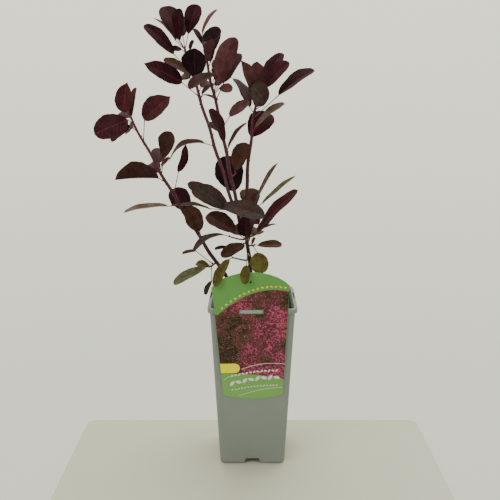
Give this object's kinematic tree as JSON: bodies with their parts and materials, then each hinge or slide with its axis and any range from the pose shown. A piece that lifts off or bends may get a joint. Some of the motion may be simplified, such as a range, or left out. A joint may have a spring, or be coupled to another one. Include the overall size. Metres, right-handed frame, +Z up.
{
  "type": "potted smoke bush",
  "caption": "Young smoke bush with oval dark red leaves on slim upright stems, in a deep square nursery pot of soil with a plain picture label hung on its front.",
  "frame": {"origin": "centre of the pot's flat underside, on the surface that it stands on", "axes": "+Z up along the stems, -Y the side that the label hangs on, +X to the right seen from that side"},
  "size_m": [0.2633, 0.151, 0.584],
  "materials": {
    "pot_plastic": "satin",
    "soil": "rough",
    "label": "satin",
    "bark": "satin",
    "foliage": "satin"
  },
  "bodies": {
    "root": {"pot": "pot_plastic", "soil": "soil", "label": "label", "trunk": "bark", "left_stem": "bark", "right_bough": "bark", "middle_bough": "bark", "back_bough": "bark", "left_stem_crown": "foliage", "right_bough_crown": "foliage", "middle_bough_crown": "foliage", "back_bough_crown": "foliage", "front_spray": "foliage", "front_left_spray": "foliage", "low_right_spray": "foliage", "low_left_spray": "foliage", "fork_left_spray": "foliage", "fork_spray": "foliage", "fork_right_spray": "foliage", "right_spray": "foliage", "middle_spray": "foliage", "middle_back_spray": "foliage", "middle_side_spray": "foliage", "left_low_spray": "foliage", "left_front_spray": "foliage", "left_back_spray": "foliage", "left_wing_spray": "foliage", "far_spray": "foliage"}
  },
  "joints": []
}
